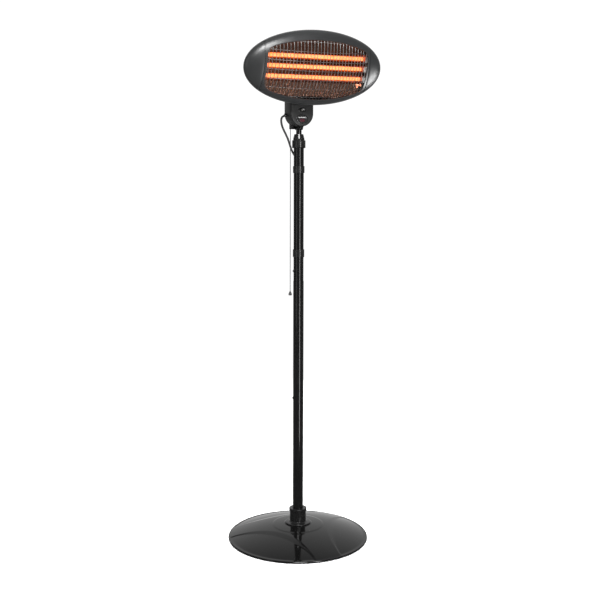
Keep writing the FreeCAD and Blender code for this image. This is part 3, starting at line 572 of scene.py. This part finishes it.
def pull_cord():
    """The straight cord under its switch, with a turned bead at its foot."""
    low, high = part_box("pull_cord")
    bead_low, bead_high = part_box("cord_bead")
    x, y = (low.x + high.x) / 2, (low.y + high.y) / 2
    route = [(x, y, high.z), (x, y, 1.35), (x, y, 1.2), (x, y, 1.05), (x, y, bead_low.z + 2 * MM)]
    points = spline_points("pull_cord_line", route)
    piece = shown("pull_cord_strand", wires("strand", [(points, CORD_RADIUS)], 10), "cord_grey")
    piece.data.set_sharp_from_angle(angle=WIRE_ANGLE)

    tall = bead_high.z - bead_low.z
    outline = [
        (0.001, 0), (4.9 * MM, 0), (5.9 * MM, 1.6 * MM), (6.0 * MM, 3.2 * MM), (5.6 * MM, 6 * MM),
        (4.0 * MM, 10.4 * MM), (2.7 * MM, 13 * MM), (2.2 * MM, tall), (0.001, tall),
    ]
    mesh = turned_mesh("bead", rounded(outline, 0.8 * MM), 40)
    bead = shown("bead", mesh, "cord_grey", Matrix.Translation((x, y, bead_low.z)))
    mesh.set_sharp_from_angle(angle=AUTO_ANGLE)
    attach(bead, "puller")
    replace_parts(bead, "cord_bead")
    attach(piece, "puller")
    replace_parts(piece, "pull_cord")


supply_cable()
pull_cord()

# ---------------------------------------------------------------------------------------------
# Base cover: a shallow dome with three pressed swirl facets, a raised hub and a rolled rim
# ---------------------------------------------------------------------------------------------

DOME_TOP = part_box("pole_socket")[0].z
BASE_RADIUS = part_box("base_cover")[1].x
RIM_BEAD = 3.2 * MM
DOME_FOOT = 6.5 * MM
DOME_RISE = DOME_TOP - DOME_FOOT
DOME_RADIUS = (BASE_RADIUS ** 2 + DOME_RISE ** 2) / (2 * DOME_RISE)
COVER_WALL = 2.2 * MM
HUB_RADIUS = 90 * MM
HUB_STEP = 0.9 * MM
SEAT_RADIUS = 48 * MM
FACET_RADIUS, FACET_OFFSET = 305 * MM, 408 * MM
BEND_RADIUS, BEND_OFFSET = 540 * MM, 667 * MM
FACET_DEPTH = 2.2 * MM
FACET_BEARINGS = [math.radians(-28 + 120 * turn) for turn in range(3)]


def pressed_depth(x, y, reach):
    """How far the cover is pressed in at a point: each facet is bent down between two arcs."""
    depth = 0.0
    for bearing in FACET_BEARINGS:
        way = Vector((math.cos(bearing), math.sin(bearing)))
        begun = FACET_RADIUS - (Vector((x, y)) - FACET_OFFSET * way).length
        left = (Vector((x, y)) - BEND_OFFSET * way).length - BEND_RADIUS
        if begun > 0:
            share = 1.0 if left <= 0 else begun / (begun + left)
            depth = max(depth, FACET_DEPTH * share)
    return depth * smoothstep((BASE_RADIUS - 4 * MM - reach) / (8 * MM))


def cover_height(reach, bearing):
    """The dome's height at a point, with its facets, raised hub and level seat."""
    height = DOME_TOP - DOME_RADIUS + math.sqrt(DOME_RADIUS ** 2 - reach ** 2)
    height -= pressed_depth(reach * math.cos(bearing), reach * math.sin(bearing), reach)
    height += HUB_STEP * (1 - smoothstep((reach - HUB_RADIUS + 5 * MM) / (9 * MM)))
    seat = 1 - smoothstep((reach - SEAT_RADIUS) / (2 * MM))
    return height * (1 - seat) + DOME_TOP * seat


def base_cover():
    """The dome from its middle out, round the rolled rim, and back under its wall."""
    sides = 540
    bearings = [2 * math.pi * step / sides for step in range(sides)]
    rim = BASE_RADIUS - RIM_BEAD
    reaches = [6 * MM, 20 * MM, 34 * MM, 46 * MM]
    reaches += [(48 + 0.5 * step) * MM for step in range(8)]
    reaches += [(54 + 4 * step) * MM for step in range(8)]
    reaches += [(84 + step) * MM for step in range(12)]
    reaches += [(97 + 3 * step) * MM for step in range(49)]
    reaches += [243 * MM, 244.5 * MM, rim - 1 * MM]
    rows = []
    for reach in reaches:
        rows.append([
            (reach * math.cos(a), reach * math.sin(a), cover_height(reach, a)) for a in bearings
        ])
    middle = RIM_BEAD + 2 * MM
    for step in range(14):
        turn = math.radians(84 - 18 * step)
        reach, height = rim + RIM_BEAD * math.cos(turn), middle + RIM_BEAD * math.sin(turn)
        rows.append([(reach * math.cos(a), reach * math.sin(a), height) for a in bearings])
    for inner in (243, 236, 210, 160, 100, 50, 6):
        reach = inner * MM
        rows.append([
            (
                reach * math.cos(a), reach * math.sin(a),
                max(cover_height(reach, a) - COVER_WALL, 4.6 * MM),
            )
            for a in bearings
        ])
    rows.append(rows[0])
    mesh = new_mesh("base_dome", rows)
    cover = shown("base_dome", outward(mesh, Vector((0, 0, 0.03))), "black_enamel")
    mesh.set_sharp_from_angle(angle=math.radians(50))
    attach(cover, "stand")
    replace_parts(cover, "base_cover")


base_cover()

# ---------------------------------------------------------------------------------------------
# Head, in its own axes: X along it, the face towards -Y
# ---------------------------------------------------------------------------------------------

HEAD = Matrix.Translation((0, -0.119, 1.644)) @ Matrix.Rotation(math.radians(20), 4, "X")
HEAD_LONG, HEAD_HIGH = 245.3 * MM, 123.4 * MM
FACE_BULGE, BACK_DEPTH = 50 * MM, 62 * MM
SEAM, SEAM_GAP = 187 * MM, 1.0 * MM
OPENING_LONG, OPENING_HIGH, OPENING_SIDE = 231.8 * MM, 97.5 * MM, 178.5 * MM
FACE_WALL, FACE_EDGE = 2.5 * MM, 0.25 * MM
LIP_INSET, LIP_WALL = 4 * MM, 1 * MM
SHELL_WALL, SHELL_EDGE = 2 * MM, 0.45 * MM
TIP_GAP = 0.004
WIRE_PITCH, WIRE_RADIUS, WIRE_INSET = 11.55 * MM, 1.15 * MM, 5.8 * MM
BAR_PITCH, BAR_RADIUS, BAR_INSET = WIRE_PITCH * 2.6, 0.8 * MM, 7.3 * MM
VENT_FIRST, VENT_STEP, VENT_HALF = 44 * MM, 16 * MM, 3 * MM
VENT_LOW, VENT_HIGH = 22 * MM, 62 * MM
SCREW_HOLE, SCREW_X, SCREW_Z = 3.7 * MM, 140 * MM, 62 * MM
CUT_DEPTHS = (20 * MM, 90 * MM)
COIL_HALF, COIL_TAIL, COIL_Y = 167 * MM, 171 * MM, 3 * MM
COIL_RADIUS, COIL_WIRE, COIL_SAG = 3.0 * MM, 0.55 * MM, 1.3 * MM
CORNER_SHARPNESS = 26


def face_y(x, z, inset=0.0):
    """Where the face's surface lies at a point of the head's outline."""
    room = 1 - (x / (HEAD_LONG - inset)) ** 2 - (z / (HEAD_HIGH - inset)) ** 2
    return -(FACE_BULGE - inset) * math.sqrt(max(0.0, room))


def oval_reach(turn, long, high):
    return 1 / math.hypot(math.cos(turn) / long, math.sin(turn) / high)


def outline_turns(count, corners):
    """Directions round the head, with the exact corners among them."""
    turns = [2 * math.pi * (step + 0.5) / count for step in range(count)]
    return sorted(turns + corners)


def bezel_centre():
    """The middle of the oval front, from the opening out to the rim and the two seams."""
    side = SEAM - SEAM_GAP
    high = HEAD_HIGH * math.sqrt(1 - (side / HEAD_LONG) ** 2)
    corner = math.atan2(high, side)
    corners = [corner, math.pi - corner, math.pi + corner, 2 * math.pi - corner]
    turns = outline_turns(360, corners)
    steps, power = 18, CORNER_SHARPNESS
    rows = []
    for step in range(steps + 1):
        share = math.sin(math.pi / 2 * step / steps)
        row = []
        for turn in turns:
            flat = max(abs(math.cos(turn)), 1e-6)
            far = min(oval_reach(turn, HEAD_LONG, HEAD_HIGH), side / flat)
            oval = oval_reach(turn, OPENING_LONG, OPENING_HIGH)
            straight = OPENING_SIDE / flat
            near = (oval ** -power + straight ** -power) ** (-1 / power)
            reach = near + (far - near) * share
            x, z = reach * math.cos(turn), reach * math.sin(turn)
            row.append((x, face_y(x, z), z))
        rows.append(row)
    mesh = outward(new_mesh("face_frame", rows), Vector((0, 0.05, 0)))
    frame_piece = shown("face_frame", mesh, "head_paint", HEAD)
    sheet_metal(frame_piece, FACE_WALL, FACE_EDGE)
    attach(frame_piece, "head")
    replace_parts(frame_piece, "bezel_centre")


def end_cap(label, way):
    """One end of the oval front, from its seam to the tip."""
    start = math.asin((SEAM + SEAM_GAP) / HEAD_LONG)
    steps, count = 20, 60
    rows = []
    for step in range(steps + 1):
        turn = start + (math.pi / 2 - TIP_GAP - start) * math.sin(math.pi / 2 * step / steps)
        x, k = HEAD_LONG * math.sin(turn), math.cos(turn)
        rows.append([
            (way * x, -FACE_BULGE * k * math.cos(a), HEAD_HIGH * k * math.sin(a))
            for a in (math.pi * (point / count - 0.5) for point in range(count + 1))
        ])
    mesh = outward(new_mesh(label, rows, closed=False), Vector((way * 0.1, 0.05, 0)))
    cap = shown(label, mesh, "head_paint", HEAD)
    sheet_metal(cap, FACE_WALL, FACE_EDGE)
    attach(cap, "head")
    return cap


def seam_lip(label, way):
    """The lip of a side cap that reaches under the seam, behind both skins."""
    count = 40
    long, high, bulge = HEAD_LONG - LIP_INSET, HEAD_HIGH - LIP_INSET, FACE_BULGE - LIP_INSET
    rows = []
    for x in (SEAM - 4 * MM, SEAM, SEAM + 4 * MM, SEAM + 8 * MM):
        k = math.sqrt(1 - (x / long) ** 2)
        rows.append([
            (way * x, -bulge * k * math.cos(a), high * k * math.sin(a))
            for a in (math.pi * (point / count - 0.5) * 0.98 for point in range(count + 1))
        ])
    mesh = outward(new_mesh(label, rows, closed=False), Vector((way * 0.1, 0.05, 0)))
    lip = shown(label, mesh, "head_paint", HEAD)
    modify(lip, "SOLIDIFY", thickness=LIP_WALL, offset=-1, use_even_offset=True)
    settle(lip)
    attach(lip, "head")


def slot_cutter(x, low, high, half):
    """A prism with round ends, straight through the housing."""
    outline = []
    for step in range(9):
        turn = math.pi * step / 8
        outline.append((x + half * math.cos(turn), high - half + half * math.sin(turn)))
    for step in range(9):
        turn = math.pi * (1 + step / 8)
        outline.append((x + half * math.cos(turn), low + half + half * math.sin(turn)))
    return [[(a, y, b) for a, b in outline] for y in CUT_DEPTHS]


def rear_housing():
    """The domed rear shell, with two rows of vent slots and four screw holes cut through it."""
    steps, count = 56, 48
    rows = []
    for step in range(steps + 1):
        turn = (math.pi / 2 - TIP_GAP) * math.sin(math.pi / 2 * (2 * step / steps - 1))
        x, k = HEAD_LONG * math.sin(turn), math.cos(turn)
        rows.append([
            (x, BACK_DEPTH * k * math.sin(a), HEAD_HIGH * k * math.cos(a))
            for a in (math.pi * point / count for point in range(count + 1))
        ])
    mesh = outward(new_mesh("rear_shell", rows, closed=False), Vector((0, -0.05, 0)))
    shell = shown("rear_shell", mesh, "head_paint")
    modify(shell, "SOLIDIFY", thickness=SHELL_WALL, offset=-1, use_even_offset=True)

    cuts = [
        slot_cutter(way * (VENT_FIRST + VENT_STEP * step), VENT_LOW, VENT_HIGH, VENT_HALF)
        for way in (-1, 1) for step in range(7)
    ]
    cuts += [
        slot_cutter(x, z - SCREW_HOLE, z + SCREW_HOLE, SCREW_HOLE)
        for x in (-SCREW_X, SCREW_X) for z in (-SCREW_Z, SCREW_Z)
    ]
    tool_mesh = capped_mesh("vent_tool", cuts)
    closed_outward(tool_mesh)
    tool = bpy.data.objects.new("vent_tool", tool_mesh)
    scene.collection.objects.link(tool)
    modify(shell, "BOOLEAN", operation="DIFFERENCE", object=tool, solver="MANIFOLD")
    modify(shell, "BEVEL", width=SHELL_EDGE, segments=2, limit_method="ANGLE", angle_limit=0.8)
    settle(shell)
    bpy.data.objects.remove(tool)
    shell.data.transform(HEAD)
    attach(shell, "head")
    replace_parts(shell, "rear_housing")


def guard():
    """Upright wires over the opening on a few crossbars, all following the face's bulge."""
    long, high = OPENING_LONG + 5 * MM, OPENING_HIGH + 5 * MM
    routes = []
    for step in range(-15, 16):
        x = WIRE_PITCH * step
        top = high * math.sqrt(1 - (x / long) ** 2)
        heights = [top * (2 * point / 30 - 1) for point in range(31)]
        routes.append(([(x, face_y(x, z, WIRE_INSET), z) for z in heights], WIRE_RADIUS))
    for step in range(-3, 4):
        z = BAR_PITCH * step
        side = min(OPENING_SIDE + 4 * MM, long * math.sqrt(1 - (z / high) ** 2))
        places = [side * (2 * point / 60 - 1) for point in range(61)]
        routes.append(([(x, face_y(x, z, BAR_INSET), z) for x in places], BAR_RADIUS))
    mesh = wires("guard_wires", routes, 8)
    piece = shown("guard_wires", mesh, "guard_wire", HEAD)
    mesh.set_sharp_from_angle(angle=WIRE_ANGLE)
    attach(piece, "head")
    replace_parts(piece, "guard_grille")


def heating_coil(label, height):
    """A wound resistance wire that lies low in its tube, with straight tails."""
    turns, per_turn = 82, 12
    route = [(-COIL_TAIL, COIL_Y, height)]
    for step in range(turns * per_turn + 1):
        turn = 2 * math.pi * step / per_turn
        x = -COIL_HALF + 2 * COIL_HALF * step / (turns * per_turn)
        sag = COIL_SAG * smoothstep((COIL_HALF - abs(x)) / (12 * MM))
        z = height - sag + COIL_RADIUS * math.sin(turn)
        route.append((x, COIL_Y + COIL_RADIUS * math.cos(turn), z))
    route.append((COIL_TAIL, COIL_Y, height))
    mesh = wires(label, [(route, COIL_WIRE)], 6)
    coil = shown(label, mesh, "glowing_wire", HEAD)
    mesh.set_sharp_from_angle(angle=math.radians(75))
    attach(coil, "head")
    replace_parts(coil, label.replace("wound_wire", "heating_coil"))


bezel_centre()
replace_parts(end_cap("cap_left", -1), "end_cap_left")
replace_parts(end_cap("cap_right", 1), "end_cap_right")
seam_lip("seam_lip_left", -1)
seam_lip("seam_lip_right", 1)
rear_housing()
guard()
for place, tube_height in (("top", 37), ("middle", 3), ("bottom", -31)):
    heating_coil("wound_wire_" + place, tube_height * MM)

# ---------------------------------------------------------------------------------------------
# Control box: two moulded shells with rounded faces, its lamp and its plain badge
# ---------------------------------------------------------------------------------------------

BOX_LOW, BOX_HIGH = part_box("control_box_front")
BOX_HALF = BOX_HIGH.x
BOX_CENTRE = BOX_LOW.z + BOX_HALF
BOX_SPLIT = BOX_HIGH.y
BOX_WALL = 2.5 * MM


def box_outline(inset, y):
    """The box's outline at a depth: a half circle below, and straight sides to a flat top."""
    wide, top, corner = BOX_HALF - inset, BOX_HIGH.z - inset, 3 * MM
    points = [
        (wide * math.cos(a), BOX_CENTRE + wide * math.sin(a))
        for a in (math.pi * (1 + step / 40) for step in range(41))
    ]
    for centre_x, start in ((wide - corner, 0), (corner - wide, math.pi / 2)):
        for step in range(7):
            a = start + math.pi / 2 * step / 6
            points.append((centre_x + corner * math.cos(a), top - corner + corner * math.sin(a)))
    return [(x, y, z) for x, z in points]


def box_shell(label, face, split, round_radius, node):
    """A shell from its open edge to its face, which turns over a rounded edge."""
    way = 1 if face > split else -1
    steps = [(0.35 * MM, split), (0, split + way * 0.35 * MM)]
    for step in range(9):
        a = math.pi / 2 * step / 8
        steps.append((
            round_radius * (1 - math.cos(a)), face - way * round_radius * (1 - math.sin(a))
        ))
    steps += [(round_radius + 6 * MM, face), (round_radius + 16 * MM, face)]
    inner = [(BOX_WALL, split), (BOX_WALL, face - way * round_radius)]
    inner += [(round_radius + BOX_WALL, face - way * BOX_WALL)]
    rows = [box_outline(inset, y) for inset, y in list(reversed(inner)) + steps]
    mesh = new_mesh(label, rows, True, ("first", "last"))
    middle = Vector((0, (face + split) / 2, BOX_CENTRE))
    shell = shown(label, outward(mesh, middle), "box_plastic")
    mesh.set_sharp_from_angle(angle=AUTO_ANGLE)
    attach(shell, "mast")
    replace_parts(shell, node)


def oval_mesh(label, node, rows, caps):
    """Ovals of (half width, half height, depth) in front of the box's face at a node's place."""
    low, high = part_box(node)
    centre = (low + high) / 2
    sides = 72
    rings = [
        [
            (wide * math.cos(a), high.y - depth, centre.z + tall * math.sin(a))
            for a in (2 * math.pi * step / sides for step in range(sides))
        ]
        for wide, tall, depth in rows
    ]
    return outward(new_mesh(label, rings, True, caps), centre)


def oval_plate(label, place, rows, material, node):
    """A low oval plate on the box's face, at another node's place."""
    mesh = oval_mesh(label, place, rows, ("first", "last"))
    plate = shown(label, mesh, material)
    mesh.set_sharp_from_angle(angle=AUTO_ANGLE)
    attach(plate, "mast")
    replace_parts(plate, node)


def raised_bar(label, z, half, tall, material):
    """A plain bar with round ends on the badge."""
    low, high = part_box("badge_plate")
    middle = (low.z + high.z) / 2 + z
    straight = half - tall
    rows = []
    for inset, depth in ((0, 1.0 * MM), (0, 1.3 * MM), (0.25 * MM, 1.5 * MM)):
        row = []
        for way, start in ((1, -math.pi / 2), (-1, math.pi / 2)):
            for step in range(13):
                a = start + math.pi * step / 12
                reach = tall - inset
                row.append((
                    way * straight + reach * math.cos(a), high.y - depth,
                    middle + reach * math.sin(a),
                ))
        rows.append(row)
    mesh = new_mesh(label, rows, True, ("first", "last"))
    bar = shown(label, outward(mesh, Vector((0, high.y - 1.2 * MM, middle))), material)
    mesh.set_sharp_from_angle(angle=AUTO_ANGLE)
    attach(bar, "mast")


def box_face():
    """The lamp's raised surround, its lens, and the badge with a plain bar and field."""
    hole = 3.8 * MM
    surround = [
        (hole, hole, 0.0), (14 * MM, 7.5 * MM, 0.0), (14 * MM, 7.5 * MM, 1.0 * MM),
        (13.3 * MM, 6.8 * MM, 1.8 * MM), (7.4 * MM, 5.4 * MM, 1.8 * MM),
        (5.2 * MM, 4.8 * MM, 1.2 * MM), (hole, hole, 1.1 * MM), (hole, hole, 0.0),
    ]
    mesh = oval_mesh("lamp_surround", "indicator_surround", surround, ())
    ring = shown("lamp_surround", mesh, "joint_plastic")
    modify(ring, "BEVEL", width=0.3 * MM, segments=2, limit_method="ANGLE", angle_limit=0.5)
    settle(ring)
    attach(ring, "mast")
    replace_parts(ring, "indicator_surround")

    radius, edge = 3.7 * MM, 0.6 * MM
    lens = [(radius, radius, -4.0 * MM), (radius, radius, edge)]
    for step in range(1, 7):
        a = math.pi / 2 * step / 6 * 0.96
        reach = radius * math.cos(a)
        lens.append((reach, reach, edge + edge * math.sin(a)))
    oval_plate("lamp_dome", "indicator_surround", lens, "lamp_lens", "indicator_lens")

    badge = [
        (22 * MM, 15.5 * MM, 0.0), (22 * MM, 15.5 * MM, 0.9 * MM), (21 * MM, 14.5 * MM, 1.5 * MM),
        (19.8 * MM, 13.3 * MM, 1.5 * MM), (19.4 * MM, 12.9 * MM, 1.1 * MM),
    ]
    oval_plate("badge_body", "badge_plate", badge, "badge_plastic", "badge_plate")
    raised_bar("badge_bar", 5.2 * MM, 14.4 * MM, 1.9 * MM, "badge_silver")
    raised_bar("badge_field", -4.6 * MM, 9.0 * MM, 5.2 * MM, "badge_red")


box_shell("box_front_shell", BOX_LOW.y, BOX_SPLIT, 5 * MM, "control_box_front")
box_shell("box_rear_shell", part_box("control_box_rear")[1].y, BOX_SPLIT, 4 * MM, "control_box_rear")
box_face()

# ---------------------------------------------------------------------------------------------
# The CAD nodes that stay, and the floor
# ---------------------------------------------------------------------------------------------


def finish_nodes():
    """Gives every shown CAD node its material, and smooth shading with crisp edges."""
    slots = {part["node"]: part["material_slot"] for part in frame["record"]["subparts"]}
    for name, obj in frame["nodes"].items():
        if obj.hide_render:
            continue
        obj.data.materials.clear()
        obj.data.materials.append(MATERIALS[slots[name]])
        modify(obj, "WELD", merge_threshold=1e-5)
        modify(obj, "BEVEL", width=0.25 * MM, segments=2, limit_method="ANGLE", angle_limit=0.7)
        modify(obj, "WEIGHTED_NORMAL", mode="FACE_AREA_WITH_ANGLE", weight=50)
        obj.data.shade_smooth()


def floor():
    """A round sheet of paper just under the feet."""
    sides = 64
    rows = [
        [
            (reach * math.cos(a), reach * math.sin(a), -0.0002)
            for a in (2 * math.pi * step / sides for step in range(sides))
        ]
        for reach in (0.2, 1.2, 2.6)
    ]
    mesh = new_mesh("floor", rows, True, ("first",))
    ground = bpy.data.objects.new("floor", mesh)
    scene.collection.objects.link(ground)
    if mesh.polygons[0].normal.z < 0:
        mesh.flip_normals()
    mesh.materials.append(MATERIALS["floor"])
    ground.visible_glossy = False


def head_light(lamp):
    """Keeps a lamp's light to the front of the head."""
    group = bpy.data.collections.new("head_front")
    for label in ("face_frame", "cap_left", "cap_right"):
        group.objects.link(bpy.data.objects[label])
    bpy.data.objects[lamp].light_linking.receiver_collection = group


finish_nodes()
floor()
head_light("side_right")
